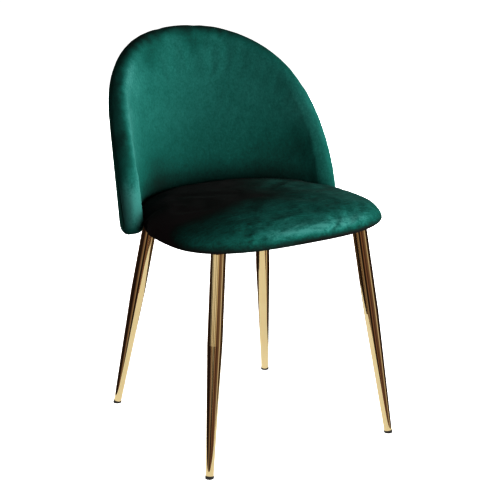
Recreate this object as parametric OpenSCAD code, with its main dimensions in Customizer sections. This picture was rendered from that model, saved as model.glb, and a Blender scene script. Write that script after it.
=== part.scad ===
// Dining chair with a round, upholstered shell back, a cushioned seat and four tapered tube legs.
// Millimetres, +Z up, the chair faces -Y, origin on the floor under the middle of its box.

/* [Overall] */
// Height of the back's top above the floor
overall_h = 787; // [700:5:900]
// Shift that puts the origin under the middle of the chair's depth
y_shift = -37; // [-60:1:0]

/* [Back] */
// Half width of the back board's middle surface
back_a = 233.9; // [200:1:260]
// Half depth of the back board's middle surface
back_b = 201; // [170:1:230]
// Where the plan curve of the back is centred, from the leg frame's centre
back_yc = 30.7; // [0:1:60]
// How far the back leans for each mm of height
rake = 0.173; // [0:0.005:0.3]
// Squareness of the back's dome, 2 for an ellipse
dome_n = 2.07; // [1.8:0.01:2.6]
// Half angle that the back wraps around the sitter at its foot
wrap = 84; // [60:1:95]
// Lowest point of the upholstered back
back_bottom = 425; // [400:1:460]
// Radius of the back's lower front corners
corner_r = 40; // [20:1:70]
// Depth of the rear half of the upholstery, behind the middle surface
back_rear_t = 17; // [12:0.5:25]
// Depth of the front half of the upholstery at its rim
back_front_t = 23; // [15:0.5:30]
// How much more the front foam swells in the middle
back_bulge = 9; // [0:0.5:20]
// Width of the rounded rim
rim_w = 25; // [15:1:35]
// Thickness of the bent plywood in the back
ply_back_t = 10; // [6:0.5:15]

/* [Seat] */
// Half width of the seat at its widest
seat_w = 234; // [200:1:260]
// Front edge of the seat, from the leg frame's centre
seat_front = -229; // [-250:1:-200]
// Rear edge of the seat, from the leg frame's centre
seat_rear = 206; // [180:1:215]
// Where the seat is widest
seat_mid_y = -70; // [-120:1:-40]
// Squareness of the seat's front corners
seat_n = 2.8; // [2:0.1:5]
// How much the wings pinch each side of the cushion
seat_pinch = 7; // [0:1:12]
// Where the wings hold the cushion, from the leg frame's centre
wing_y = 50; // [20:1:80]
// Height of the seat board's underside
board_z = 438.5; // [420:1:450]
// Thickness of the seat board
board_t = 12; // [9:1:18]
// How far the board stays inside the cushion's outline
board_in = 9; // [6:0.5:14]
// Height of the seat cushion's crown above the board's underside
seat_crown = 56; // [45:1:75]
// Forward tilt of the seat, front edge up
seat_tilt = 1.6; // [0:0.1:4]
// Thickness of the velvet with its backing
cloth_t = 1.2; // [0.8:0.1:2]

/* [Legs] */
// Half spread of the front feet
foot_fx = 213; // [180:1:240]
// Front feet, from the leg frame's centre
foot_fy = -208; // [-240:1:-180]
// Half spread of the rear feet
foot_rx = 187; // [160:1:220]
// Rear feet, from the leg frame's centre
foot_ry = 228; // [190:1:250]
// Half spread of the front legs at the seat
top_fx = 163; // [140:1:190]
// Front legs at the seat
top_fy = -161.5; // [-190:1:-130]
// Half spread of the rear legs at the seat
top_rx = 132; // [110:1:160]
// Rear legs at the seat
top_ry = 156.5; // [130:1:180]
// Leg tube's diameter at the top
leg_d1 = 29.4; // [22:0.2:36]
// Leg tube's diameter at the foot
leg_d2 = 15.6; // [12:0.2:22]
// Wall thickness of the leg tube
leg_wall = 1.5; // [1:0.1:2.5]
// Share of the leg's length that tapers
taper_part = 0.6; // [0.3:0.05:1]
// Thickness of the mounting plates
plate_t = 4; // [3:0.5:6]

/* [Fasteners] */
// Diameter of the M6 bolts' shanks
bolt_d = 5.8; // [5:0.1:6]
// Diameter of the bolts' heads
head_d = 11; // [9:0.5:13]
// Height of the bolts' heads
head_h = 3.2; // [2:0.1:5]
// Number of staples around the dust cover
staple_count = 26; // [12:1:40]

/* [Hidden] */
green = [0.07, 0.31, 0.27];
foam_c = [0.86, 0.80, 0.62];
ply_c = [0.74, 0.56, 0.36];
gold = [0.83, 0.66, 0.36];
steel = [0.62, 0.63, 0.65];
black = [0.05, 0.05, 0.05];
FEET = [[-foot_fx, foot_fy, -top_fx, top_fy], [foot_fx, foot_fy, top_fx, top_fy],
    [-foot_rx, foot_ry, -top_rx, top_ry], [foot_rx, foot_ry, top_rx, top_ry]];
lip_z = board_z - 0.3;                       // top of the cloth tucked under the board
dust_z = lip_z - cloth_t - 0.2;              // top of the dust cover
dust_t = 0.6;
plate_z = dust_z - dust_t - 0.2;             // top of the mounting plates
plate_b = plate_z - plate_t;
tilt_z = 435;
NB = 64;                                     // meridians of the back's skins
NS = 60;                                     // points around the seat

// ---------- a closed skin through rings of points, with a pole at each end ----------
function flat(l) = [for (a = l) for (b = a) b];
module skin(first, rings, last) {
    n = len(rings[0]);
    m = len(rings);
    pts = concat([first], flat(rings), [last]);
    faces = concat(
        [for (i = [0:n - 1]) [0, 1 + i, 1 + (i + 1) % n]],
        flat([for (k = [0:m - 2]) for (i = [0:n - 1])
            let (a = 1 + k * n + i, b = 1 + k * n + (i + 1) % n, c = a + n, d = b + n)
            [[a, c, b], [b, c, d]]]),
        [for (i = [0:n - 1]) [1 + m * n, 1 + (m - 1) * n + (i + 1) % n, 1 + (m - 1) * n + i]]);
    polyhedron(points = pts, faces = faces, convexity = 6);
}

// ---------- the back: a leaning elliptic wrap, drawn in angle p (degrees) and height z ----------
z_lo = back_bottom;
z_hi = overall_h;
mid_lo = z_lo + back_rear_t;
mid_hi = z_hi - back_rear_t - 0.3;
deg = 180 / PI;
function half_angle(z) =                     // outline of the middle surface
    let (t = min(1, max(0, (z - mid_lo) / (mid_hi - mid_lo)))) wrap * pow(max(0, 1 - pow(t, dome_n)), 1 / dome_n);
mid_z = 560;                                 // height of the skins' common centre
sc = back_b / deg;                           // mm along the wrap for each degree near the wings
co = corner_r;
c_p = half_angle(z_lo + co) + (back_rear_t - co) / sc;
q_lo = asin(pow(co / (mid_hi - mid_lo), dome_n / 2));
// right half of the outline, from the bottom's middle to the top's middle, as [angle, height]
function out_half(u) =
    u < 0.25 ? [c_p * u / 0.25, z_lo]
    : u < 0.42 ? let (w = 90 * (u - 0.25) / 0.17)
        [c_p + co * sin(w) / sc, z_lo + co * (1 - cos(w))]
    : let (q = q_lo + (90 - q_lo) * (u - 0.42) / 0.58, e = 2 / dome_n,
        cp = pow(max(0, cos(q)), e), sp = pow(min(1, sin(q)), e),
        gx = pow(cp, dome_n - 1) / (wrap * sc), gz = pow(sp, dome_n - 1) / (mid_hi - mid_lo),
        gl = norm([gx, gz]))
        [wrap * cp + back_rear_t * gx / gl / sc, mid_lo + (mid_hi - mid_lo) * sp + back_rear_t * gz / gl];
// share of the rim's full width: the foot's edge is turned tighter than the dome's
function tight(i) = let (v = i / (NB / 2), u = v <= 1 ? v : 2 - v)
    u < 0.25 ? 0.45 : u > 0.42 ? 1 : 0.45 + 0.55 * (1 - cos(90 * (u - 0.25) / 0.17));
// share of the front padding's depth: thin along the foot, where the legs and the seat are
function thin(i, f) = let (v = i / (NB / 2), u = v <= 1 ? v : 2 - v,
    k = u < 0.165 ? 0.5 : u > 0.23 ? 1 : 0.5 + 0.5 * (u - 0.165) / 0.065) k + (1 - k) * min(1, f / 0.3);
function outline(i) = let (u = i / (NB / 2))
    u <= 1 ? out_half(u) : let (o = out_half(2 - u)) [-o[0], o[1]];
// rho is the distance in from the rim in mm, f the share of the rest of the way to the centre
function inset(i, rho, f) = let (o = outline(i), dx = o[0] * sc, dz = o[1] - mid_z,
    l = sqrt(dx * dx + dz * dz), k = (1 - rho / l) * (1 - f)) [dx * k / sc, mid_z + dz * k];
function on_back(pz, n) = let (p = pz[0], z = pz[1], nx = -back_b * sin(p), ny = -back_a * cos(p),
    nz = back_a * cos(p) * rake, l = sqrt(nx * nx + ny * ny + nz * nz))
    [back_a * sin(p) + n * nx / l,
     back_yc + rake * (z - 460) + back_b * cos(p) + n * ny / l + y_shift, z + n * nz / l];
function ring(s) = [for (i = [0:NB - 1]) on_back(inset(i, s[0] * tight(i), s[1]),
    s[2] > hb + 0.5 ? hb + 0.5 + (s[2] - hb - 0.5) * thin(i, s[1]) : s[2])];
function swell(f) = back_bulge * (1 - pow(1 - f, 3));
FR = [0.12, 0.28, 0.46, 0.64, 0.82];
FRr = [0.82, 0.64, 0.46, 0.28, 0.12];
// profile points [rho, f, n] at a depth d under the upholstered surface
function front_arc(d, w) = [d + (rim_w - d) * (1 - cos(w)), 0, (back_front_t - d) * sin(w)];
function rear_arc(d, w) = [d + (rim_w - d) * (1 - cos(w)), 0, -(back_rear_t - d) * sin(w)];
function front_side(d) = concat([for (f = FRr) [rim_w, f, back_front_t - d + swell(f)]],
    [for (w = [90, 62, 40, 22, 8]) front_arc(d, w)]);
function rear_side(d) = concat([for (w = [34, 52, 70, 90]) rear_arc(d, w)],
    [for (f = FR) [rim_w, f, -(back_rear_t - d)]]);
function rev(l) = [for (i = [len(l) - 1:-1:0]) l[i]];
function rings(prof) = [for (s = prof) ring(s)];
function pole(n) = on_back([0, mid_z], n);
front_pole = back_front_t + back_bulge;

// the front cover turns over the rim and meets the rear cover on the rear face
module front_cover() difference() {
    skin(pole(front_pole),
        rings(concat(front_side(0), [for (w = [8, 34, 62]) rear_arc(0, w)], [[rim_w, 0, -back_rear_t]],
            [[rim_w, 0, cloth_t - back_rear_t]], [for (w = [62, 34, 8]) rear_arc(cloth_t, w)],
            rev(front_side(cloth_t)))),
        pole(front_pole - cloth_t));
    bracket_slots(0.6);
}
module rear_cover() skin(pole(-back_rear_t + cloth_t),
    rings(concat([for (f = FRr) [rim_w, f, cloth_t - back_rear_t]], [[rim_w + 0.4, 0, cloth_t - back_rear_t],
        [rim_w + 0.4, 0, -back_rear_t]], [for (f = FR) [rim_w, f, -back_rear_t]])),
    pole(-back_rear_t));
module bracket_slots(g) tilted() for (s = [-1, 1]) bracket_foot(s)
    translate([-14 - g, -60, -g]) cube([28 + 2 * g, 60 - 2, plate_t + 2 * g]);
fd = cloth_t + 0.3;
hb = ply_back_t / 2;
bf = 13;                                     // the board's rim is this far inside the outline
module front_foam() difference() {
    skin(pole(front_pole - fd),
        rings(concat(front_side(fd), [rear_arc(fd, 8), [fd + 0.6, 0, -hb - 0.2],
            [bf - 0.4, 0, -hb - 0.2], [bf - 0.4, 0, hb + 0.3], [rim_w, 0, hb + 0.3]],
            [for (f = FR) [rim_w, f, hb + 0.3]])),
        pole(hb + 0.3));
    for (s = [-1, 1]) at_bracket(s) translate([-17, -13, -16]) cube([34, 19, 78]);
    bracket_slots(0.8);
}
module rear_pad() skin(pole(-hb - 0.6),
    rings(concat([for (f = FRr) [rim_w, f, -hb - 0.6]], [[rim_w, 0, -hb - 0.6],
        [fd + 1.0, 0, -hb - 0.6]], rear_side(fd))),
    pole(-back_rear_t + fd));
module board_of_back() difference() {
    skin(pole(hb), rings(concat([for (f = FRr) [rim_w, f, hb]], [[rim_w, 0, hb], [bf, 0, hb],
        [bf, 0, -hb], [rim_w, 0, -hb]], [for (f = FR) [rim_w, f, -hb]])), pole(-hb));
    for (s = [-1, 1]) at_bracket(s) for (z = BZ) translate([0, 0, z]) rotate([-90, 0, 0]) {
        translate([0, 0, -5]) cylinder(d = 8.4, h = 25, $fn = 32);
        translate([0, 0, bk_n + ply_back_t - 1.9]) cylinder(d = 20.4, h = 8, $fn = 40);
    }
}

// ---------- the seat: one outline, inset for each layer ----------
se_y = seat_mid_y;
se_lf = se_y - seat_front;
se_lr = seat_rear - se_y;
// a superellipse that is squarer in front, pinched a little where the wings hold it
function se_out(t) = let (c = cos(t), s = sin(t), l = s > 0 ? se_lr : se_lf, n = s > 0 ? 2.2 : seat_n,
    r = pow(pow(abs(c) / seat_w, n) + pow(abs(s) / l, n), -1 / n), x = r * c, y = r * s,
    g = (se_y + y - wing_y) / 38, in = seat_pinch * exp(-g * g) * min(1, abs(x) / 100))
    [x - sign(x) * in, y];
function se_pt(t, q, f) = let (o = se_out(t), k = (1 - q / norm(o)) * (1 - f))
    [o[0] * k, se_y + o[1] * k + y_shift];
function se_ring(s) = [for (i = [0:NS - 1]) let (p = se_pt(360 * i / NS, s[0], s[1])) [p[0], p[1], s[2]]];
function se_rings(prof) = [for (s = prof) se_ring(s)];
SP = [[4, 1.0], [0.8, 4], [0, 8], [1.6, 14], [5, 20], [10.5, 26.5], [18, 32.5], [29, 37.5]];
SF = [0.1, 0.25, 0.45, 0.65, 0.85];
function dome(f) = 37.5 + (seat_crown - 37.5) * (1 - pow(1 - f, 2.4));
function se_side(d) = concat(
    [for (i = [0:7]) let (p = SP[i]) [p[0] + d, 0, board_z + p[1] + (i == 0 ? d : 0) - (i > 4 ? d * 0.8 : 0)]],
    [for (f = SF) [29 + d, f, board_z + dome(f) - d]]);
module tilted() translate([0, y_shift, tilt_z]) rotate([-seat_tilt, 0, 0]) translate([0, -y_shift, -tilt_z])
    children();
module cushion_cover() skin([0, se_y + y_shift, board_z + seat_crown - cloth_t],
    se_rings(concat(rev(se_side(cloth_t)), [[8, 0, lip_z], [26, 0, lip_z], [26, 0, lip_z - cloth_t],
        [7, 0, lip_z - cloth_t]], [for (s = se_side(0)) s])),
    [0, se_y + y_shift, board_z + seat_crown]);
bz1 = board_z + board_t;
module cushion_foam() skin([0, se_y + y_shift, bz1 + 0.3],
    se_rings(concat([for (f = [0.85, 0.65, 0.45, 0.25, 0.1]) [29 + fd, f, bz1 + 0.3]],
        [[board_in - 0.5, 0, bz1 + 0.3], [board_in - 0.5, 0, board_z + 3]],
        [for (i = [1:12]) se_side(fd)[i]])),
    [0, se_y + y_shift, board_z + seat_crown - fd]);
function board_line(q) = [for (i = [0:119]) se_pt(3 * i, q, 0)];
module board_of_seat() difference() {
    translate([0, 0, board_z]) linear_extrude(height = board_t) polygon(board_line(board_in));
    each_seat_bolt() {
        translate([0, 0, board_z - 1]) cylinder(d = 8.4, h = board_t + 2, $fn = 32);
        translate([0, 0, bz1 - 1.9]) cylinder(d = 20.4, h = 4, $fn = 40);
    }
    each_staple() for (s = [-1, 1]) translate([s * 4.6, 0, board_z - 1]) cylinder(d = 1, h = 6.5, $fn = 16);
}
module bottom_cloth() difference() {
    translate([0, 0, dust_z - dust_t]) linear_extrude(height = dust_t) polygon(board_line(board_in + 6));
    each_seat_bolt() translate([0, 0, dust_z - 2]) cylinder(d = 7, h = 4, $fn = 32);
    each_staple() for (s = [-1, 1]) translate([s * 4.6, 0, dust_z - 2]) cylinder(d = 1, h = 4, $fn = 16);
}
module each_staple() for (i = [0:staple_count - 1])
    let (t = 360 * (i + 0.5) / staple_count, p = se_pt(t, 30, 0), q = se_pt(t + 1, 30, 0))
    translate([p[0], p[1], 0]) rotate([0, 0, atan2(q[1] - p[1], q[0] - p[0])]) children();
module staples() each_staple() {
    translate([-5, -0.35, dust_z - dust_t - 0.6]) cube([10, 0.7, 0.5]);
    for (s = [-1, 1]) translate([s * 4.6 - 0.35, -0.3, dust_z - dust_t - 0.3]) cube([0.7, 0.6, 6.5]);
}

// ---------- legs, plates and bolts ----------
module leg_axis(i) {                         // children stand on the floor point, z along the leg
    f = FEET[i];
    dx = f[2] - f[0];
    dy = f[3] - f[1];
    dz = plate_b;
    l = sqrt(dx * dx + dy * dy + dz * dz);
    translate([f[0], f[1] + y_shift, 0]) rotate([0, 0, atan2(dy, dx)])
        rotate([0, acos(dz / l), 0]) children();
}
function leg_len(i) = let (f = FEET[i]) norm([f[2] - f[0], f[3] - f[1], plate_b]);
module leg(i) intersection() {
    leg_axis(i) let (l = leg_len(i), t = l * taper_part) difference() {
        union() {
            translate([0, 0, 5]) cylinder(d1 = leg_d2, d2 = leg_d1, h = t - 5, $fn = 64);
            translate([0, 0, t]) cylinder(d = leg_d1, h = l - t + 30, $fn = 64);
        }
        translate([0, 0, 4]) cylinder(d1 = leg_d2 - 2 * leg_wall, d2 = leg_d1 - 2 * leg_wall,
            h = t - 4, $fn = 64);
        translate([0, 0, t - 0.01]) cylinder(d = leg_d1 - 2 * leg_wall, h = l - t + 40, $fn = 64);
    }
    tilted() translate([-400, -400, -60]) cube([800, 800, 60 + plate_b - 0.02]);
}
module at_plate(i) { f = FEET[i]; tilted() translate([f[2], f[3] + y_shift, 0])
    rotate([0, 0, atan2(-f[3], -f[2])]) children(); }
PB = [[24, -25], [24, 25], [52, -25], [52, 25]];
module plate(i) at_plate(i) translate([0, 0, plate_b]) difference() {
    linear_extrude(height = plate_t) hull() {
        circle(r = 16.5, $fn = 48);
        for (p = PB) translate(p) circle(r = 9, $fn = 48);
    }
    for (p = PB) translate([p[0], p[1], -1]) cylinder(d = 6.6, h = plate_t + 2, $fn = 32);
}
module each_leg_bolt() for (i = [0:3]) let (f = FEET[i], w = atan2(-f[3], -f[2])) for (p = PB)
    translate([f[2] + p[0] * cos(w) - p[1] * sin(w), f[3] + y_shift + p[0] * sin(w) + p[1] * cos(w), 0])
    children();
module bolt(top, under, r = head_d / 2) {
    translate([0, 0, under]) cylinder(d = bolt_d, h = top - under, $fn = 32);
    difference() {
        translate([0, 0, under - head_h]) cylinder(r = r, h = head_h, $fn = 40);
        translate([0, 0, under - head_h - 1]) cylinder(d = 4.2, h = 3, $fn = 6);
    }
}
module washer(z) difference() {
    translate([0, 0, z]) cylinder(d = 12, h = 1.2, $fn = 40);
    translate([0, 0, z - 1]) cylinder(d = 6.4, h = 3.4, $fn = 32);
}
module tee_nut(z, h) difference() {          // flange at z, barrel hanging down by h
    union() {
        translate([0, 0, z]) cylinder(d = 20, h = 1.4, $fn = 40);
        translate([0, 0, z - h]) cylinder(d = 8, h = h + 0.1, $fn = 32);
    }
    translate([0, 0, z - h - 1]) cylinder(d = 6.2, h = h + 4, $fn = 32);
}
wz = plate_b - 1.4;                          // underside of the washers
module glides() for (i = [0:3]) intersection() {
    leg_axis(i) {
        translate([0, 0, -6]) cylinder(d = 17, h = 10.6, $fn = 48);
        translate([0, 0, 4]) cylinder(d = 11.6, h = 16, $fn = 48);
    }
    translate([-400, -400, 0]) cube([800, 800, 60]);
}

// ---------- the L brackets between the seat board and the back board ----------
bk_x = 62;
bk_p = asin(bk_x / back_a);
bk_turn = atan((back_b * sin(bk_p)) / (back_a * cos(bk_p)));
bk_n = 0.4;                                  // gap between the arm and the board
arm_t = 3;
BZ = [20, 46];
// frame on the back board's front face: x across, y to the rear, z up along the board
module at_bracket(s) {
    o = on_back([s * bk_p, board_z + 22], hb);
    translate(o) rotate([0, 0, -s * bk_turn]) rotate([-atan(rake * cos(bk_turn)), 0, 0])
        translate([0, 0, -22]) children();
}
module bracket(s) difference() {
    union() {
        intersection() {
            at_bracket(s) translate([-14, -bk_n - arm_t, -14]) cube([28, arm_t, 70.5]);
            tilted() translate([-300, -300, plate_b]) cube([600, 600, 100]);
        }
        tilted() intersection() {
            bracket_foot(s) translate([-14, -84, 0]) cube([28, 86, plate_t]);
            translate([-300, -300, plate_b]) cube([600, 600, plate_t]);
        }
    }
    at_bracket(s) for (z = BZ) translate([0, 0, z]) rotate([90, 0, 0]) translate([0, 0, -2])
        cylinder(d = 6.6, h = 10, $fn = 32);
    tilted() each_foot_bolt(s) translate([0, 0, plate_b - 1]) cylinder(d = 6.6, h = plate_t + 2, $fn = 32);
}
module bracket_foot(s) { o = on_back([s * bk_p, board_z - 3], hb);
    translate([o[0], o[1] - bk_n, plate_b]) rotate([0, 0, -s * bk_turn]) children(); }
module each_foot_bolt(s) for (y = [-44, -70]) bracket_foot(s) translate([0, y, -plate_b]) children();
module each_seat_bolt() { each_leg_bolt() children(); for (s = [-1, 1]) each_foot_bolt(s) children(); }
module back_bolts() for (s = [-1, 1]) {
    tilted() each_foot_bolt(s) bolt(bz1 - 2, wz);
    at_bracket(s) for (z = BZ) translate([0, -bk_n - arm_t, z]) rotate([-90, 0, 0])
        bolt(arm_t + bk_n + 8, -1.4, 5.2);
}
module back_washers() for (s = [-1, 1]) {
    tilted() each_foot_bolt(s) washer(plate_b - 1.3);
    at_bracket(s) for (z = BZ) translate([0, -bk_n - arm_t, z]) rotate([-90, 0, 0]) washer(-1.3);
}
module back_nuts() for (s = [-1, 1]) at_bracket(s) for (z = BZ) translate([0, 0, z])
    rotate([-90, 0, 0]) tee_nut(ply_back_t - 1.7, 7.5);

color(ply_c) tilted() board_of_seat();  // seat_board
color(foam_c) tilted() cushion_foam();  // seat_foam
color(green) tilted() cushion_cover();  // seat_cover
color(black) tilted() bottom_cloth();  // dust_cover
color(steel) tilted() staples();  // dust_cover_staples
color(ply_c) board_of_back();  // back_board
color(foam_c) front_foam();  // back_front_foam
color(foam_c) rear_pad();  // back_rear_pad
color(green) front_cover();  // back_front_cover
color(green) rear_cover();  // back_rear_cover
color(steel) bracket(-1);  // bracket_left
color(steel) bracket(1);  // bracket_right
color(steel) back_bolts();  // bracket_bolts
color(steel) back_washers();  // bracket_washers
color(steel) back_nuts();  // back_tee_nuts
color(steel) tilted() each_seat_bolt() tee_nut(bz1 - 1.7, 9);  // seat_tee_nuts
color(steel) tilted() each_leg_bolt() bolt(bz1 - 2, wz);  // leg_bolts
color(steel) tilted() each_leg_bolt() washer(plate_b - 1.3);  // leg_washers
color(gold) leg(0);  // leg_front_left
color(gold) leg(1);  // leg_front_right
color(gold) leg(2);  // leg_rear_left
color(gold) leg(3);  // leg_rear_right
color(gold) plate(0);  // plate_front_left
color(gold) plate(1);  // plate_front_right
color(gold) plate(2);  // plate_rear_left
color(gold) plate(3);  // plate_rear_right
color(black) glides();  // foot_glides
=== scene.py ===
import math

import bpy
import numpy as np
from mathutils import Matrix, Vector
from mathutils.kdtree import KDTree


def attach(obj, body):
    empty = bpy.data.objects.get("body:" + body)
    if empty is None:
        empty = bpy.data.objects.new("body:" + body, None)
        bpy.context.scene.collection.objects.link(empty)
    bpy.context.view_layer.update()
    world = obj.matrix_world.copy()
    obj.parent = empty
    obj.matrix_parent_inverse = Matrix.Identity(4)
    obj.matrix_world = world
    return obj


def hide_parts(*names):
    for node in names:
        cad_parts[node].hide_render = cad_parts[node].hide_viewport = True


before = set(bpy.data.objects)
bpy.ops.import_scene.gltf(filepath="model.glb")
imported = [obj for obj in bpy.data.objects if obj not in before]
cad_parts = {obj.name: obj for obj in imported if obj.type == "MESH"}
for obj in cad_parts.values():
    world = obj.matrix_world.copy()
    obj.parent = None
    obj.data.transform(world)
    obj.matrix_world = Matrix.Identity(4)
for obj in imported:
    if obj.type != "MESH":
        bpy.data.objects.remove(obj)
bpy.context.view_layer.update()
scene = bpy.context.scene

# ---------------------------------------------------------------- camera
CAM_AZ, CAM_EL, CAM_DIST, CAM_LENS = math.radians(-31.66), math.radians(17.33), 3.4753, 123.15
CAM_AIM = Vector((0.0070, -0.0370, 0.3706))
back_dir = Vector((math.sin(CAM_AZ) * math.cos(CAM_EL),
                   -math.cos(CAM_AZ) * math.cos(CAM_EL), math.sin(CAM_EL)))
cam = bpy.data.objects.new("camera", bpy.data.cameras.new("camera"))
scene.collection.objects.link(cam)
cam.location = CAM_AIM + back_dir * CAM_DIST
cam.rotation_mode = "QUATERNION"
cam.rotation_quaternion = (-back_dir).to_track_quat("-Z", "Y")
cam.data.sensor_width = 36
cam.data.lens = CAM_LENS
scene.camera = cam

# ---------------------------------------------------------------- sizes, as in the CAD source (mm)
Y_SHIFT = -37.0
BACK_A, BACK_B, BACK_YC, RAKE, WRAP = 233.9, 201.0, 30.7, 0.173, 84.0
Z_LO, Z_HI, CORNER, DOME_N = 425.0, 787.0, 40.0, 2.07
REAR_T, FRONT_T, SWELL, RIM_W, HALF_BOARD = 17.0, 23.0, 9.0, 25.0, 5.5
MID_LO, MID_HI, MID_Z = Z_LO + REAR_T, Z_HI - REAR_T - 0.3, 560.0
MM = 0.001
SC = BACK_B * math.pi / 180    # mm along the back for each degree of wrap
SEAT_W, SEAT_FRONT, SEAT_REAR, SEAT_MID, SEAT_N = 234.0, -229.0, 206.0, -70.0, 2.8
PINCH, WING_Y, BOARD_Z, CROWN, ROLL_Z, TILT, TILT_Z = 7.0, 50.0, 438.5, 56.0, 37.5, 1.6, 435.0


# ---------------------------------------------------------------- mesh helpers
def link(name, verts, faces, mat, rounded=True):
    me = bpy.data.meshes.new(name)
    me.from_pydata([tuple(v) for v in verts], [], [tuple(f) for f in faces])
    me.update()
    ob = bpy.data.objects.new(name, me)
    scene.collection.objects.link(ob)
    if rounded:
        me.polygons.foreach_set("use_smooth", [True] * len(me.polygons))
    if mat is not None:
        me.materials.append(mat)
    return ob


def skin_faces(n, m, start=False, end=False, flip=False):
    """Quads between m closed rings of n points, with fans onto a pole before or after them."""
    f = []
    for k in range(m - 1):
        for i in range(n):
            a, b = k * n + i, k * n + (i + 1) % n
            f.append((a, b, b + n, a + n))
    if end:
        f += [((m - 1) * n + i, (m - 1) * n + (i + 1) % n, m * n) for i in range(n)]
    if start:
        p = m * n + (1 if end else 0)
        f += [(i, p, (i + 1) % n) for i in range(n)]
    return [tuple(reversed(x)) for x in f] if flip else f


def catmull(pts, per):
    """A smooth curve through the points, per samples a span."""
    p = np.asarray(pts, float)
    p = np.vstack([2 * p[0] - p[1], p, 2 * p[-1] - p[-2]])
    out = []
    for i in range(1, len(p) - 2):
        for t in np.linspace(0, 1, per, endpoint=False):
            a, b, c, d = p[i - 1], p[i], p[i + 1], p[i + 2]
            out.append(0.5 * (2 * b + (c - a) * t + (2 * a - 5 * b + 4 * c - d) * t * t
                              + (3 * b - a - 3 * c + d) * t ** 3))
    out.append(p[-2])
    return np.array(out)


def smooth_closed(p, sigma, step):
    """Gaussian smoothing of a closed line whose points are step apart."""
    r = int(3 * sigma / step) + 1
    w = np.exp(-0.5 * (np.arange(-r, r + 1) * step / sigma) ** 2)
    w /= w.sum()
    q = np.vstack([p[-r:], p, p[:r]])
    return np.stack([np.convolve(q[:, k], w, "valid") for k in range(p.shape[1])], 1)


def resample_closed(p, n):
    q = np.vstack([p, p[:1]])
    d = np.r_[0, np.cumsum(np.linalg.norm(np.diff(q, axis=0), axis=1))]
    s = np.linspace(0, d[-1], n, endpoint=False)
    return np.stack([np.interp(s, d, q[:, k]) for k in range(q.shape[1])], 1)


# ---------------------------------------------------------------- materials
def nodes_of(name):
    m = bpy.data.materials.new(name)
    m.use_nodes = True
    nt = m.node_tree
    return m, nt, nt.nodes["Principled BSDF"]


def ramp(nt, fac, stops):
    r = nt.nodes.new("ShaderNodeValToRGB")
    e = r.color_ramp.elements
    while len(e) > 1:
        e.remove(e[-1])
    e[0].position, e[0].color = stops[0][0], (*stops[0][1], 1)
    for p, c in stops[1:]:
        x = e.new(p)
        x.color = (*c, 1)
    nt.links.new(fac, r.inputs["Fac"])
    return r.outputs["Color"]


def noise(nt, co, scale, detail=3.0, rough=0.5, distort=0.0):
    n = nt.nodes.new("ShaderNodeTexNoise")
    n.inputs["Scale"].default_value = scale
    n.inputs["Detail"].default_value = detail
    n.inputs["Roughness"].default_value = rough
    n.inputs["Distortion"].default_value = distort
    nt.links.new(co, n.inputs["Vector"])
    return n.outputs["Fac"]


def stretched(nt, scale, turn=0.0):
    co = nt.nodes.new("ShaderNodeTexCoord").outputs["Object"]
    mp = nt.nodes.new("ShaderNodeMapping")
    mp.inputs["Scale"].default_value = scale
    mp.inputs["Rotation"].default_value = (0, 0, turn)
    nt.links.new(co, mp.inputs["Vector"])
    return mp.outputs["Vector"]


def math_node(nt, op, *terms):
    n = nt.nodes.new("ShaderNodeMath")
    n.operation = op
    for i, v in enumerate(terms):
        if isinstance(v, (int, float)):
            n.inputs[i].default_value = v
        else:
            nt.links.new(v, n.inputs[i])
    return n.outputs[0]


def bump(nt, height, strength, distance, normal=None):
    b = nt.nodes.new("ShaderNodeBump")
    b.inputs["Strength"].default_value = strength
    b.inputs["Distance"].default_value = distance
    nt.links.new(height, b.inputs["Height"])
    if normal is not None:
        nt.links.new(normal, b.inputs["Normal"])
    return b.outputs["Normal"]


# the velvet's colours, from those of painted shade (darkest, lifted to a near-neutral grey) to those of
# painted highlight (palest and least saturated); the middle is the cloth's own green
VELVET_SHADE_TO_LIGHT = [(0.0, (0.0270, 0.0180, 0.0200)), (0.10, (0.0155, 0.0175, 0.0160)), (0.27, (0.0092, 0.046, 0.037)),
          (0.5, (0.0115, 0.104, 0.085)), (0.72, (0.026, 0.155, 0.132)), (1.0, (0.060, 0.225, 0.200))]


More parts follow.
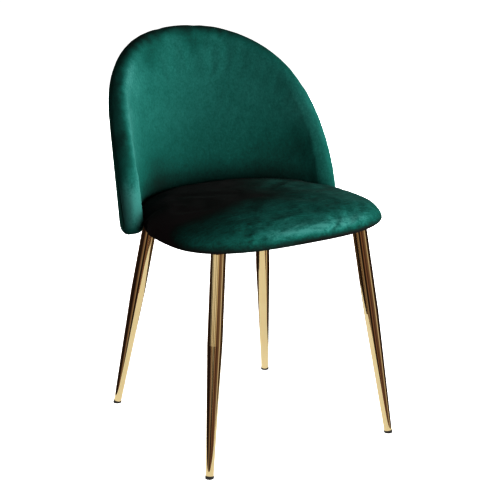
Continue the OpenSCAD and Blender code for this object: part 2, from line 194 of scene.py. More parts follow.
def velvet(name, grain, brush):
    """Short-pile velvet: a brushed nap, clouded and streaked along the grain, over a fine pile.

    A point attribute adds painted light and shade to this, partly the pile's own brushed nap: 1 and over
    where the cloth is painted light, near 0 where it is painted in shade.
    brush holds how strongly clouds, strokes, threads and mottling vary it."""
    m, nt, b = nodes_of(name)
    co = nt.nodes.new("ShaderNodeTexCoord").outputs["Object"]
    nap_and_painted_light = nt.nodes.new("ShaderNodeAttribute")
    nap_and_painted_light.attribute_name = "nap_and_painted_light"
    clouds = noise(nt, co, 14, 5, 0.62, 1.4)
    along = stretched(nt, (22, 96, 60), 0.55) if grain == "y" else stretched(nt, (44, 44, 30))
    strokes = noise(nt, along, 1, 5, 0.66, 1.6)
    threads = noise(nt, stretched(nt, (700, 700, 90) if grain == "z" else (700, 110, 700)), 1, 2, 0.5)
    mottle = noise(nt, co, 210, 5, 0.75)
    pile = noise(nt, co, 2200, 2, 0.6)
    level = 1 - 0.5 * sum(brush)
    for pattern, strength in zip((clouds, strokes, threads, mottle), brush):
        level = math_node(nt, "MULTIPLY_ADD", pattern, strength, level)
    level = math_node(nt, "MULTIPLY", math_node(nt, "MULTIPLY", level, nap_and_painted_light.outputs["Fac"]), 0.5)
    nt.links.new(ramp(nt, level, VELVET_SHADE_TO_LIGHT), b.inputs["Base Color"])
    b.inputs["Roughness"].default_value = 0.9
    b.inputs["Specular IOR Level"].default_value = 0.05
    b.inputs["Sheen Weight"].default_value = 0.02
    b.inputs["Sheen Roughness"].default_value = 0.35
    b.inputs["Sheen Tint"].default_value = (0.75, 0.90, 0.85, 1)
    normal = None
    for height, strength, distance in ((strokes, 0.14, 0.0020), (threads, 0.30, 0.0004),
                                       (mottle, 0.35, 0.0006), (pile, 0.40, 0.0003)):
        normal = bump(nt, height, strength, distance, normal)
    nt.links.new(normal, b.inputs["Normal"])
    return m


def gold():
    m, nt, b = nodes_of("gold_plated_steel")
    co = nt.nodes.new("ShaderNodeTexCoord").outputs["Object"]
    tint = noise(nt, co, 9, 3, 0.55)
    nt.links.new(ramp(nt, tint, [(0.35, (0.78, 0.65, 0.395)), (0.65, (0.83, 0.71, 0.46))]),
                 b.inputs["Base Color"])
    b.inputs["Metallic"].default_value = 1.0
    fine = noise(nt, stretched(nt, (900, 900, 30)), 1, 2, 0.5)
    nt.links.new(ramp(nt, fine, [(0.3, (0.045, 0.045, 0.045)), (0.7, (0.085, 0.085, 0.085))]),
                 b.inputs["Roughness"])
    drawn = noise(nt, stretched(nt, (160, 160, 14)), 1, 2, 0.5)
    nt.links.new(bump(nt, drawn, 0.05, 0.0003), b.inputs["Normal"])
    return m


def plastic():
    m, nt, b = nodes_of("glide_plastic")
    co = nt.nodes.new("ShaderNodeTexCoord").outputs["Object"]
    grain = noise(nt, co, 900, 3, 0.6)
    nt.links.new(ramp(nt, grain, [(0.3, (0.018, 0.018, 0.018)), (0.7, (0.045, 0.044, 0.042))]),
                 b.inputs["Base Color"])
    nt.links.new(ramp(nt, grain, [(0.3, (0.45, 0.45, 0.45)), (0.7, (0.62, 0.62, 0.62))]),
                 b.inputs["Roughness"])
    nt.links.new(bump(nt, grain, 0.3, 0.0002), b.inputs["Normal"])
    return m


def steel():
    m, nt, b = nodes_of("zinc_plated_steel")
    co = nt.nodes.new("ShaderNodeTexCoord").outputs["Object"]
    v = noise(nt, co, 120, 4, 0.6)
    nt.links.new(ramp(nt, v, [(0.3, (0.42, 0.43, 0.45)), (0.7, (0.66, 0.66, 0.64))]), b.inputs["Base Color"])
    b.inputs["Metallic"].default_value = 1.0
    nt.links.new(ramp(nt, v, [(0.3, (0.28, 0.28, 0.28)), (0.7, (0.45, 0.45, 0.45))]), b.inputs["Roughness"])
    nt.links.new(bump(nt, noise(nt, co, 1500, 2, 0.5), 0.15, 0.0002), b.inputs["Normal"])
    return m


def plywood():
    m, nt, b = nodes_of("plywood")
    g = noise(nt, stretched(nt, (14, 160, 160)), 1, 4, 0.6, 0.8)
    ply = nt.nodes.new("ShaderNodeTexWave")
    ply.bands_direction = "Z"
    ply.inputs["Scale"].default_value = 110
    ply.inputs["Distortion"].default_value = 0.6
    nt.links.new(nt.nodes.new("ShaderNodeTexCoord").outputs["Object"], ply.inputs["Vector"])
    both = math_node(nt, "ADD", math_node(nt, "MULTIPLY", g, 0.75),
                     math_node(nt, "MULTIPLY", ply.outputs["Fac"], 0.25))
    wood = [(0.25, (0.36, 0.21, 0.10)), (0.5, (0.56, 0.37, 0.19)), (0.8, (0.70, 0.50, 0.29))]
    nt.links.new(ramp(nt, both, wood), b.inputs["Base Color"])
    b.inputs["Roughness"].default_value = 0.65
    nt.links.new(bump(nt, g, 0.3, 0.0004), b.inputs["Normal"])
    return m


def lining():
    m, nt, b = nodes_of("non_woven_lining")
    co = nt.nodes.new("ShaderNodeTexCoord").outputs["Object"]
    v = nt.nodes.new("ShaderNodeTexVoronoi")
    v.inputs["Scale"].default_value = 520
    nt.links.new(co, v.inputs["Vector"])
    fibre = noise(nt, co, 700, 4, 0.7)
    nt.links.new(ramp(nt, fibre, [(0.3, (0.012, 0.012, 0.013)), (0.7, (0.045, 0.045, 0.048))]),
                 b.inputs["Base Color"])
    b.inputs["Roughness"].default_value = 0.9
    felt = bump(nt, fibre, 0.4, 0.0003)
    nt.links.new(bump(nt, v.outputs["Distance"], 0.5, 0.0003, felt), b.inputs["Normal"])
    return m


MAT = {"velvet_back": velvet("velvet_back", "z", (0.34, 0.26, 0.40, 0.85)),
       "velvet_seat": velvet("velvet_seat", "y", (0.90, 1.45, 0.30, 1.15)), "gold": gold(),
       "plastic": plastic(), "steel": steel(), "plywood": plywood(), "lining": lining()}


# ---------------------------------------------------------------- the back's skins
# how far round each half outline, from 0 to 1, the foot ends and the corner after it
FOOT_END, CORNER_END = 0.25, 0.42
CORNER_SPAN, DOME_SPAN = CORNER_END - FOOT_END, 1 - CORNER_END


def half_angle(z):
    t = np.clip((z - MID_LO) / (MID_HI - MID_LO), 0, 1)
    return WRAP * (1 - t ** DOME_N) ** (1 / DOME_N)


def dome_outline(n):
    """The back's outline as n rows [mm along the wrap, height, share], from the foot's middle to the right.

    The share is 0 at the foot's middle, FOOT_END where the corner starts, CORNER_END where it ends and
    1 at the top."""
    c_p = float(half_angle(Z_LO + CORNER)) + (REAR_T - CORNER) / SC
    q0 = math.asin((CORNER / (MID_HI - MID_LO)) ** (DOME_N / 2))
    half = [(c_p * t * SC, Z_LO, FOOT_END * t) for t in np.linspace(0, 1, 60, endpoint=False)]
    half += [(c_p * SC + CORNER * math.sin(w), Z_LO + CORNER * (1 - math.cos(w)),
              FOOT_END + CORNER_SPAN * w / (math.pi / 2))
             for w in np.linspace(0, math.pi / 2, 40, endpoint=False)]
    for q in np.linspace(q0, math.pi / 2, 160):
        cp, sp = max(0.0, math.cos(q)) ** (2 / DOME_N), math.sin(q) ** (2 / DOME_N)
        gx, gz = cp ** (DOME_N - 1) / (WRAP * SC), sp ** (DOME_N - 1) / (MID_HI - MID_LO)
        g = math.hypot(gx, gz)
        half.append((WRAP * cp * SC + REAR_T * gx / g, MID_LO + (MID_HI - MID_LO) * sp + REAR_T * gz / g,
                     CORNER_END + DOME_SPAN * (q - q0) / (math.pi / 2 - q0)))
    half = np.array(half)
    other = half[-2:0:-1] * [-1, 1, 1]
    p = resample_closed(np.vstack([half, other]), 1200)
    step = np.linalg.norm(p[1, :2] - p[0, :2])
    return resample_closed(smooth_closed(p, 6.0, step), n)


def on_back(s, z, n):
    """Points at s mm along the wrap and height z, n mm in front of the middle surface."""
    p = np.radians(s / SC)
    nx, ny, nz = -BACK_B * np.sin(p), -BACK_A * np.cos(p), BACK_A * np.cos(p) * RAKE
    size = np.sqrt(nx * nx + ny * ny + nz * nz)
    return np.stack([BACK_A * np.sin(p) + n * nx / size,
                     BACK_YC + RAKE * (z - 460) + BACK_B * np.cos(p) + n * ny / size + Y_SHIFT,
                     z + n * nz / size], -1) * MM


NB = 320                       # points round each ring of the back
rim = dome_outline(NB)
share = rim[:, 2]
rim = rim[:, :2]
tan = np.roll(rim, -1, 0) - np.roll(rim, 1, 0)
tan /= np.linalg.norm(tan, axis=1)[:, None]
inward = np.stack([-tan[:, 1], tan[:, 0]], 1)
# along the foot the rim is narrower (TIGHT), the front foam thinner (THIN) and the turn squarer (SQUARE)
corner_turn = np.radians(np.clip(90 * (share - FOOT_END) / CORNER_SPAN, 0, 90))
TIGHT = np.where(share < FOOT_END, 0.45,
                 np.where(share > CORNER_END, 1.0, 0.45 + 0.55 * (1 - np.cos(corner_turn))))
THIN = 0.5 + 0.5 * np.clip((share - 0.165) / 0.065, 0, 1)
round_corner = np.clip((share - FOOT_END) / 0.15, 0, 1)
SQUARE = 1 - 0.26 * (1 - round_corner ** 2 * (3 - 2 * round_corner))


def back_ring(rho, f, n):
    """A ring rho mm inside the rim and f of the way to the middle, n mm in front of the board's middle."""
    p = rim + inward * (rho * TIGHT)[:, None]
    q = p * (1 - f) + np.array([0, MID_Z]) * f
    thin = THIN + (1 - THIN) * min(1, f / 0.3)
    n = np.broadcast_to(np.asarray(n, float), NB)
    return on_back(q[:, 0], q[:, 1], np.where(n > HALF_BOARD, HALF_BOARD + (n - HALF_BOARD) * thin, n))


def swell(f):
    """How far the front foam swells, f of the way to its middle."""
    return SWELL * (1 - (1 - f) ** 3)


def arc(w, depth):
    """A point of the rim's turn, squarer along the foot, as [rho, f, n] for each meridian."""
    c, k = math.cos(math.radians(w)), math.sin(math.radians(w))
    return (RIM_W * (1 - c ** SQUARE), 0.0, depth * k ** SQUARE)


FS = np.linspace(0, 0.97, 36)  # how far towards the middle each ring of a face lies


def back_skin(name, prof, pole_n, mat, flip):
    pole = on_back(np.array([0.0]), np.array([MID_Z]), np.array([float(pole_n)]))
    v = np.vstack([back_ring(*s) for s in prof] + [pole])
    return link(name, v, skin_faces(NB, len(prof), end=True, flip=flip), mat)


# both covers turn down into the seam, which is a groove 3 mm deep on the rear face
front_prof = [(RIM_W + 4, 0, 7 - REAR_T), (RIM_W + 0.2, 0, 4.5 - REAR_T), (RIM_W - 0.3, 0, 2.4 - REAR_T),
              (RIM_W - 1.0, 0, 1.0 - REAR_T), (RIM_W - 2.4, 0, 0.25 - REAR_T)]
front_prof += [arc(w, -REAR_T) for w in range(78, 0, -6)] + [arc(w, FRONT_T) for w in range(0, 90, 6)]
front_prof += [(RIM_W, f, FRONT_T + swell(f)) for f in FS]
front = back_skin("back_front_pad", front_prof, FRONT_T + SWELL, MAT["velvet_back"], False)
rear_prof = [(RIM_W - 3, 0, 7 - REAR_T), (RIM_W + 0.4, 0, 4.5 - REAR_T), (RIM_W + 0.8, 0, 2.4 - REAR_T),
             (RIM_W + 1.5, 0, 1.0 - REAR_T), (RIM_W + 3.0, 0, 0.25 - REAR_T), (RIM_W + 6.0, 0, -REAR_T)]
rear_prof += [(RIM_W + 9.0, f, -REAR_T) for f in FS]
rear = back_skin("back_rear_panel", rear_prof, -REAR_T, MAT["velvet_back"], True)


# ---------------------------------------------------------------- the seat's skin
def seat_outline(n):
    """The cushion's outline as n points [x, y] in mm from its widest line, pinched by the back's wings."""
    t = np.linspace(0, 2 * np.pi, 2400, endpoint=False)
    c, s = np.cos(t), np.sin(t)
    depth = np.where(s > 0, SEAT_REAR - SEAT_MID, SEAT_MID - SEAT_FRONT)
    e = np.where(s > 0, 2.2, SEAT_N)
    r = ((np.abs(c) / SEAT_W) ** e + (np.abs(s) / depth) ** e) ** (-1 / e)
    x, y = r * c, r * s
    g = (SEAT_MID + y - WING_Y) / 38
    x = x - np.sign(x) * PINCH * np.exp(-g * g) * np.minimum(1, np.abs(x) / 100)
    p = resample_closed(np.stack([x, y], 1), 1600)
    return resample_closed(smooth_closed(p, 5.0, np.linalg.norm(p[1] - p[0])), n)


NS = 288                       # points round each ring of the seat
line = seat_outline(NS)
ltan = np.roll(line, -1, 0) - np.roll(line, 1, 0)
ltan /= np.linalg.norm(ltan, axis=1)[:, None]
lin = np.stack([-ltan[:, 1], ltan[:, 0]], 1)


def tilted(v):
    """Points in metres, turned by the seat's tilt about the middle of the leg frame."""
    a = math.radians(-TILT)
    y, z = v[:, 1] - Y_SHIFT * MM, v[:, 2] - TILT_Z * MM
    return np.stack([v[:, 0], Y_SHIFT * MM + y * math.cos(a) - z * math.sin(a),
                     TILT_Z * MM + y * math.sin(a) + z * math.cos(a)], 1)


def seat_ring(q, f, z):
    """A ring q mm inside the outline and f of the way to the middle, z mm above the board's underside."""
    p = (line + lin * q) * (1 - f)
    return tilted(np.stack([p[:, 0], p[:, 1] + SEAT_MID + Y_SHIFT, np.full(NS, BOARD_Z + z)], 1) * MM)


# the cushion's side in section, [mm inside the outline, height], from under the board up to the roll. The
# last point only guides the curve.
ROLL_IN, PER_SPAN = 29.0, 5
section = catmull([(26, -1.5), (16, -1.5), (8, -1.2), (4, 1.0), (0.8, 4), (0, 8), (1.6, 14), (5, 20),
                   (10.5, 26.5), (18, 32.5), (ROLL_IN, ROLL_Z), (38, 39.2)], PER_SPAN)
seat_prof = [(q, 0.0, z) for q, z in section[:-PER_SPAN - 1]]
seat_prof += [(ROLL_IN, f, ROLL_Z + (CROWN - ROLL_Z) * (1 - (1 - f) ** 2.4)) for f in FS]
sv = np.vstack([seat_ring(*s) for s in seat_prof]
               + [tilted(np.array([[0, SEAT_MID + Y_SHIFT, BOARD_Z + CROWN]]) * MM)])
seat = link("seat_cushion", sv, skin_faces(NS, len(seat_prof), end=True), MAT["velvet_seat"])


# ---------------------------------------------------------------- the covers settle on their foam
def points(ob):
    v = np.empty(len(ob.data.vertices) * 3)
    ob.data.vertices.foreach_get("co", v)
    return v.reshape(-1, 3)


def put_points(ob, v):
    ob.data.vertices.foreach_set("co", np.ascontiguousarray(v).ravel())
    ob.data.update()


def tree_of(v):
    t = KDTree(len(v))
    for i, p in enumerate(v):
        t.insert(p, i)
    t.balance()
    return t


def blended(tree, values, at, k):
    """Each point's value, from the k nearest points of the tree."""
    out = np.zeros((len(at), values.shape[1]))
    for i, p in enumerate(at):
        near = tree.find_n(p, k)
        w = np.array([1 / (d * d + 1e-6) for _, _, d in near])
        out[i] = w @ values[[j for _, j, _ in near]] / w.sum()
    return out


FRAMES, PRESSURE, VOXEL = 20, 1.0, 0.007


def settle(piece, n_ring, hold, slack, growth, cap):
    """Run a remeshed, closed copy of the pad as cloth, and move the pad's own points as that cloth moved.

    hold and slack hold one value for each of the pad's points: how firmly the foam keeps the cover in
    place, and how much of that cloth's movement the cover takes on. growth is the share by which the
    cover is cut too large, and cap the furthest that a point moves, in metres."""
    v = points(piece)
    rings = (len(v) - 1) // n_ring
    lid = v[:n_ring].mean(0)
    body = link("settling_cover", np.vstack([v, lid]), skin_faces(n_ring, rings, start=True, end=True), None)
    m = body.modifiers.new("remesh", "REMESH")
    m.mode, m.voxel_size = "VOXEL", VOXEL
    bpy.context.view_layer.update()
    mesh = bpy.data.meshes.new_from_object(body.evaluated_get(bpy.context.evaluated_depsgraph_get()))
    body.modifiers.clear()
    body.data = mesh
    start = points(body)
    firm = blended(tree_of(np.vstack([v, lid])), np.r_[hold, 1.0][:, None], start, 3)[:, 0]
    group = body.vertex_groups.new(name="hold")
    for i, w in enumerate(firm):
        group.add([i], float(min(1, max(0, w))), "REPLACE")
    cloth = body.modifiers.new("cloth", "CLOTH")
    cs = cloth.settings
    cs.quality, cs.mass, cs.air_damping = 6, 0.35, 3.0
    cs.tension_stiffness = cs.compression_stiffness = 18
    cs.shear_stiffness, cs.bending_stiffness = 6, 0.6
    cs.effector_weights.gravity = 0
    cs.use_pressure, cs.uniform_pressure_force = True, PRESSURE
    cs.vertex_group_mass, cs.pin_stiffness = "hold", 1.0
    cs.shrink_min = -growth
    cloth.collision_settings.use_collision = False
    cloth.collision_settings.use_self_collision = False
    for f in range(1, FRAMES + 1):
        scene.frame_set(f)
    end = points(body.evaluated_get(bpy.context.evaluated_depsgraph_get()))
    move = end - start
    size = np.linalg.norm(move, axis=1)
    move *= (np.minimum(size, cap) / np.maximum(size, 1e-9))[:, None]
    shift = blended(tree_of(start), move, v, 6)
    put_points(piece, v + shift * slack[:, None])
    bpy.data.objects.remove(body)
    scene.frame_set(1)


def smooth(x, low, high):
    """0 below low, 1 above high, with a soft step between them."""
    t = np.clip((np.asarray(x, float) - low) / (high - low), 0, 1)
    return t * t * (3 - 2 * t)


def wobble(n, low, high, seed):
    """n values round a ring, between about -1 and 1, of waves numbered low to high."""
    g = np.random.default_rng(seed)
    t = np.linspace(0, 2 * np.pi, n, endpoint=False)
    w = sum(g.normal() * np.cos(k * t + g.uniform(0, 2 * np.pi)) for k in range(low, high))
    return w / np.abs(w).max()


def spot(p, at, size):
    """A soft round patch at a place in mm, for points in metres."""
    return np.exp(-(((p / MM - at) / size) ** 2).sum(1))


def per_point(rings, n_ring, f):
    """One value for each point of a skin, from f(ring number): one value, or one for each meridian."""
    return np.concatenate([np.broadcast_to(f(k), n_ring) for k in range(rings)]
                          + [[float(np.mean(f(rings - 1)))]])


def by_ring(values, rings, n_ring):
    """The same value for each ring's point on a meridian."""
    return per_point(rings, n_ring, lambda k: values)


# stores each point's painted light and shade, partly real nap, for the velvet to read
def give_nap_and_painted_light(piece, nap_and_painted_light):
    piece.data.attributes.new("nap_and_painted_light", "FLOAT", "POINT").data.foreach_set("value", np.clip(nap_and_painted_light, 0.02, 2.2))


K_FRONT, K_SEAT = len(front_prof), len(seat_prof)
# the rings where the front pad is widest and its face starts, and where the seat's lip ends and top starts
F_ARC, F_FACE, S_LIP, S_TOP = 18, 33, 12, K_SEAT - len(FS)
# how firmly the foam holds the covers: edges fast, the rim and the seat soft, the back's face firmer
FAST, SOFT, FIRMER, SEAM_RINGS = 1.0, 0.10, 0.16, 8
# how much too large the covers are cut, and the most that they move in metres
BACK_SLACK, BACK_MOST, SEAT_SLACK, SEAT_MOST = 0.011, 0.004, 0.020, 0.005
held = per_point(K_FRONT, NB, lambda k: FAST if k < SEAM_RINGS else SOFT if k < F_FACE + 6 else FIRMER)
free = per_point(K_FRONT, NB, lambda k: float(smooth(k, 6, 16)))
settle(front, NB, held, free, BACK_SLACK, BACK_MOST)
held = per_point(K_SEAT, NS, lambda k: FAST if k < S_LIP else SOFT)
free = per_point(K_SEAT, NS, lambda k: float(smooth(k, S_LIP - 2, S_LIP + 10)))
settle(seat, NS, held, free, SEAT_SLACK, SEAT_MOST)

# ---------------------------------------------------------------- where the velvet is painted light or in shade
NAP_BACK, NAP_REAR, NAP_SEAT = 0.92, 0.9, 1.02
# soft round patches of painted shade and painted highlight on the back: the place and the size in mm, and how
# much darker or lighter each paints it
SHADE_PATCHES = (((200, 66, 552), 42, 0.30), ((150, 110, 500), 60, 0.20), ((-100, 150, 500), 42, 0.30),
          ((26, 221, 757), 22, 0.34), ((-92, 201, 738), 24, 0.30), ((-62, 213, 762), 18, 0.28))
HIGHLIGHT_PATCHES = (((-198, 75, 560), 50, 0.42), ((-190, 100, 640), 48, 0.38), ((-150, 155, 705), 42, 0.32),
           ((-243, 12, 475), 60, 1.10), ((-228, 25, 492), 38, 0.60), ((212, 60, 620), 55, 0.24),
           ((222, 30, 560), 34, 0.30), ((226, 12, 490), 42, 0.25))

v = points(front)
x, z = v[:, 0] / MM, v[:, 2] / MM
on_left = rim[:, 0] < 0
# the rim is painted in shade, with a ragged inner edge: most over the top, and further down on the left side,
# which faces away from the lamps
jagged = 2.0 * wobble(NB, 24, 90, 11) - 2.5 * smooth(share, 0.80, 0.95)
turned = per_point(K_FRONT, NB, lambda k: 1.0 - smooth(k + jagged, F_ARC + 1, F_FACE - 2))
down_left, down_right = 0.30 + 0.70 * smooth(share, 0.42, 0.62), 0.10 + 0.90 * smooth(share, 0.60, 0.9)
rim_shade = (turned * by_ring(np.where(on_left, down_left, down_right), K_FRONT, NB)
            * by_ring(1 + 0.22 * wobble(NB, 6, 30, 5), K_FRONT, NB))
# a painted highlight on the left wing's fold, between its side and its face
fold_share = np.where(on_left, smooth(share, 0.40, 0.50) * (1 - smooth(share, 0.72, 0.88)), 0)
fold_highlight = per_point(K_FRONT, NB, lambda k: fold_share * np.exp(-((k - F_FACE + 3) / 5) ** 2))
# painted shade in small puckers that run inwards from the rim over the top
pucker_shade = (per_point(K_FRONT, NB, lambda k: float(np.exp(-max(0, k - F_FACE + 4) / 5.0)) if k > F_ARC else 0.0)
          * by_ring(np.clip(wobble(NB, 18, 60, 3), 0, 1) * smooth(share, 0.6, 0.75), K_FRONT, NB))
# painted shadow on the foot of the face, where the seat meets it
on_face = per_point(K_FRONT, NB, lambda k: float(smooth(k, F_FACE - 4, F_FACE + 2)))
seat_shadow = (1 - smooth(z, 474, 514)) * (0.1 + 0.9 * smooth(x, -200, -110)) * on_face
# the face is painted lighter towards the top, then the painted shade and highlights above are added
nap_and_painted_light = NAP_BACK + 0.30 * smooth(z, 470, 640) - 0.72 * rim_shade - 0.22 * pucker_shade + 0.34 * fold_highlight - 0.28 * seat_shadow
for at, size, depth in SHADE_PATCHES:
    nap_and_painted_light -= depth * spot(v, at, size)
for at, size, rise in HIGHLIGHT_PATCHES:
    nap_and_painted_light += rise * spot(v, at, size)
# the pad's lowest 25 mm is painted in shade, where it goes down by the seat
nap_and_painted_light -= 0.50 * (1 - smooth(z, 428, 450))
give_nap_and_painted_light(front, nap_and_painted_light)
give_nap_and_painted_light(rear, np.full(len(rear.data.vertices), NAP_REAR))

v = points(seat)
x, y = v[:, 0] / MM, v[:, 1] / MM
# painted shade: the rear left of the seat, with a wavy edge, the side under the roll and the rear part, and
# painted shadow along the rear edge by the back
rear_left_shade = smooth(118 - x + 12 * np.sin(y / 31), 0, 150) * smooth(y - 0.10 * x + 10 * np.sin(x / 27), -166, -86)
under_roll_shade = per_point(K_SEAT, NS, lambda k: 1.0 - float(smooth(k, S_LIP + 8, S_LIP + 26)))
under_roll_shade *= 0.75 + 0.25 * smooth(x, -100, 50)
rear_edge_shadow = per_point(K_SEAT, NS, lambda k: 1.0 - float(smooth(k, S_TOP - 2, S_TOP + 9)))
roll = per_point(K_SEAT, NS, lambda k: float(np.exp(-((k - S_LIP - 27) / 9.0) ** 2)))
nap_and_painted_light = NAP_SEAT - 0.90 * rear_left_shade - 0.85 * under_roll_shade - 0.45 * smooth(y, 0, 130) - 0.95 * rear_edge_shadow * smooth(y, -70, 20)
# a painted highlight along the middle of the front roll, fading to its left end, painted shade on its right
# end, and painted shade along the seat's left side
nap_and_painted_light += 0.76 * roll * smooth(x, -140, -20) * smooth(-y, 150, 210) - 0.74 * roll * smooth(x, 95, 190)
nap_and_painted_light -= 0.22 * smooth(-x, 120, 195)
give_nap_and_painted_light(seat, nap_and_painted_light)

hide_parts("seat_cover", "seat_foam")
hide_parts("back_front_cover", "back_front_foam")
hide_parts("back_rear_cover", "back_rear_pad")
for piece, fill in ((seat, 0.85), (front, 0.8), (rear, 0.9)):
    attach(piece, "root")

# ---------------------------------------------------------------- the dust cover under the seat
DUST_IN, DUST_Z, STAPLES = 15.0, -2.3, 26
DUST_HEM = 28                  # mm from the sheet's edge to where its plain middle starts
sheet_rings = []
staple_wave = np.cos(np.arange(NS) / NS * STAPLES * 2 * np.pi)
for q, sag in ((0, 0.35), (1.2, 0.1), (4, 0.0), (9, 0.0), (16, 0.4), (DUST_HEM, 0.9)):
    lift = (0.25 if q < 12 else 0.12) * staple_wave - sag
    ring = line + lin * (DUST_IN + q)
    sheet_rings.append(np.stack([ring[:, 0], ring[:, 1] + SEAT_MID + Y_SHIFT, BOARD_Z + DUST_Z + lift], 1))
for f in np.linspace(0.1, 0.96, 16):
    ring = (line + lin * (DUST_IN + DUST_HEM)) * (1 - f)
    sheet_rings.append(np.stack([ring[:, 0], ring[:, 1] + SEAT_MID + Y_SHIFT,
                                 np.full(NS, BOARD_Z + DUST_Z - 0.9 - 2.2 * f * (2 - f))], 1))
dv = tilted(np.vstack(sheet_rings + [[[0, SEAT_MID + Y_SHIFT, BOARD_Z + DUST_Z - 3.1]]]) * MM)
dust = link("dust_cover_cloth", dv, skin_faces(NS, len(sheet_rings), end=True, flip=True), MAT["lining"])
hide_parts("dust_cover")
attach(dust, "root")

# ---------------------------------------------------------------- CAD nodes that stay
CAD_LOOK = {"seat_board": "plywood", "back_board": "plywood", "foot_glides": "plastic",
            "dust_cover": "lining"}
GOLD_NODES = ("leg_front", "leg_rear", "plate_")
for name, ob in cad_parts.items():
    key = "gold" if name.startswith(GOLD_NODES) else CAD_LOOK.get(name, "steel")
    ob.data.materials.clear()
    ob.data.materials.append(MAT[key])


# ---------------------------------------------------------------- floor and light
def emissive(name, colour, strength):
    m, nt, b = nodes_of(name)
    b.inputs["Base Color"].default_value = (0.8, 0.8, 0.8, 1)
    b.inputs["Roughness"].default_value = 0.9
    b.inputs["Emission Color"].default_value = (*colour, 1)
    b.inputs["Emission Strength"].default_value = strength
    return m


floor = link("floor", [(-30, -30, 0), (30, -30, 0), (30, 30, 0), (-30, 30, 0)], [(0, 1, 2, 3)],
             emissive("pale_floor", (1, 1, 1), 1.0), False)
floor.visible_diffuse = floor.visible_glossy = False
# what polished metal sees of the floor: a white sweep round the chair, [azimuth, how far out it reaches in m]
SWEEP = [(-180, 0.46), (-150, 0.36), (-120, 0.30), (-90, 0.30), (-60, 0.37), (-31, 0.45), (0, 0.42),
         (40, 0.365), (70, 0.32), (100, 0.32), (140, 0.42), (180, 0.46)]
disc = [(r * math.sin(math.radians(t)), -r * math.cos(math.radians(t)), 0.0)
        for t in range(-180, 180, 4) for r in [float(np.interp(t, *zip(*SWEEP)))]]
sweep = link("white_sweep", disc, [tuple(range(len(disc)))],
             emissive("sweep_white", (1.0, 0.99, 0.95), 0.95), False)
sweep.visible_camera = sweep.visible_diffuse = sweep.visible_shadow = False

# bands round the room that polished metal mirrors, by the way round it: 0 and 1 are behind the chair, 0.25
# is at its left and 0.5 in front of it. WALLS are above the edge, GROUND below it.
PALE, STRAW, TAN = (1.0, 0.97, 0.88), (0.72, 0.60, 0.45), (0.50, 0.40, 0.30)
RUST, BROWN, DARK = (0.34, 0.19, 0.13), (0.21, 0.122, 0.095), (0.036, 0.021, 0.017)
WALLS = [(0.0, DARK), (0.06, BROWN), (0.10, PALE), (0.30, PALE), (0.355, TAN), (0.37, PALE), (0.395, PALE),
         (0.405, BROWN), (0.415, STRAW), (0.455, STRAW), (0.48, BROWN), (0.56, TAN), (0.60, BROWN),
         (0.65, PALE), (0.67, DARK), (0.78, DARK), (0.84, BROWN), (0.90, PALE), (0.95, DARK)]
GROUND = [(0.0, BROWN), (0.08, DARK), (0.22, DARK), (0.27, BROWN), (0.33, TAN), (0.345, DARK),
          (0.408, DARK), (0.422, RUST), (0.445, RUST), (0.462, BROWN), (0.48, DARK), (0.50, BROWN),
          (0.56, BROWN), (0.60, TAN), (0.63, PALE), (0.65, BROWN), (0.72, DARK), (0.88, DARK), (0.94, BROWN)]
# the walls' lower edge is soft and ragged, a little under the horizon, like furniture of many heights
WAVES, PHASE, EDGE_SLOPE, EDGE_WAVE, EDGE_LEVEL = 17, -0.91, 13.0, 0.65, 1.50
AMBIENT, BACKDROP = 0.02, 1.0


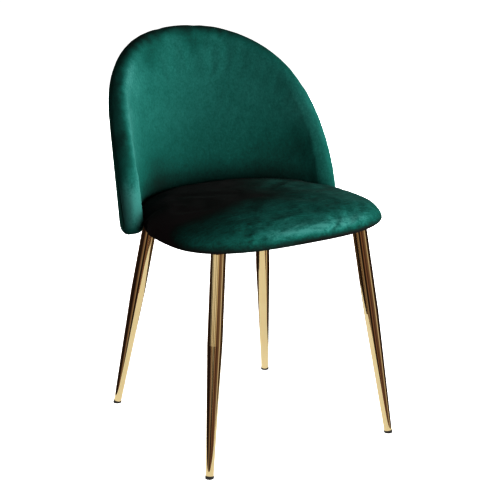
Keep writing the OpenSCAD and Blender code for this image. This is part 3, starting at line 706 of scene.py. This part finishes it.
def studio_world():
    """White to the camera, almost dark as light on cloth, and a banded room in polished metal."""
    world = bpy.data.worlds.new("studio")
    world.use_nodes = True
    wt = world.node_tree
    path = wt.nodes.new("ShaderNodeLightPath")
    way = wt.nodes.new("ShaderNodeSeparateXYZ")
    wt.links.new(wt.nodes.new("ShaderNodeTexCoord").outputs["Generated"], way.inputs[0])
    backwards = math_node(wt, "MULTIPLY", way.outputs["Y"], -1.0)
    turn = math_node(wt, "MULTIPLY_ADD", math_node(wt, "ARCTAN2", way.outputs["X"], backwards),
                     1 / (2 * math.pi), 0.5)
    skyline = math_node(wt, "SINE", math_node(wt, "MULTIPLY_ADD", turn, WAVES * 2 * math.pi, PHASE))
    above = math_node(wt, "MULTIPLY_ADD", way.outputs["Z"], EDGE_SLOPE,
                      math_node(wt, "MULTIPLY_ADD", skyline, EDGE_WAVE, EDGE_LEVEL))
    above.node.use_clamp = True
    tone = wt.nodes.new("ShaderNodeMixRGB")
    for source, socket in zip((above, ramp(wt, turn, GROUND), ramp(wt, turn, WALLS)), tone.inputs):
        wt.links.new(source, socket)

    def background(strength):
        bg = wt.nodes.new("ShaderNodeBackground")
        bg.inputs["Color"].default_value = (1, 1, 1, 1)
        bg.inputs["Strength"].default_value = strength
        return bg

    def either(ray, if_not, if_so):
        mix = wt.nodes.new("ShaderNodeMixShader")
        for source, socket in zip((path.outputs[ray], if_not.outputs[0], if_so.outputs[0]), mix.inputs):
            wt.links.new(source, socket)
        return mix

    mirrored = background(1.0)
    wt.links.new(tone.outputs[0], mirrored.inputs["Color"])
    unseen = either("Is Glossy Ray", background(AMBIENT), mirrored)
    whole = either("Is Camera Ray", unseen, background(BACKDROP))
    wt.links.new(whole.outputs[0], wt.nodes["World Output"].inputs["Surface"])
    return world


scene.world = studio_world()

# ---------------------------------------------------------------- soft studio lights
AIM, LIGHT_SIZE, LIGHT_DIST = (0, -0.05, 0.55), (1.4, 1.2), 3.2


def softbox(name, at, power):
    d = bpy.data.lights.new(name, "AREA")
    d.shape = "RECTANGLE"
    d.size, d.size_y = LIGHT_SIZE
    d.energy = power
    o = bpy.data.objects.new(name, d)
    scene.collection.objects.link(o)
    o.location = at
    o.rotation_mode = "QUATERNION"
    o.rotation_quaternion = (Vector(AIM) - Vector(at)).to_track_quat("-Z", "Y")
    o.visible_glossy = False


def around(azimuth, elevation):
    a, e = math.radians(azimuth), math.radians(elevation)
    way = (math.sin(a) * math.cos(e), -math.cos(a) * math.cos(e), math.sin(e))
    return tuple(c + LIGHT_DIST * d for c, d in zip(AIM, way))


for name, azimuth, elevation, power in (("key", 0, 6, 138), ("side", 68, 6, 140), ("rim", 140, 6, 80),
                                        ("rear_left", -145, 6, 25), ("rear", 178, 4, 60)):
    softbox(name, around(azimuth, elevation), power)
scene.view_settings.view_transform = "Standard"
scene.view_settings.look = "None"
scene.view_settings.gamma = 0.75    # deepens the contrast, as in a product picture
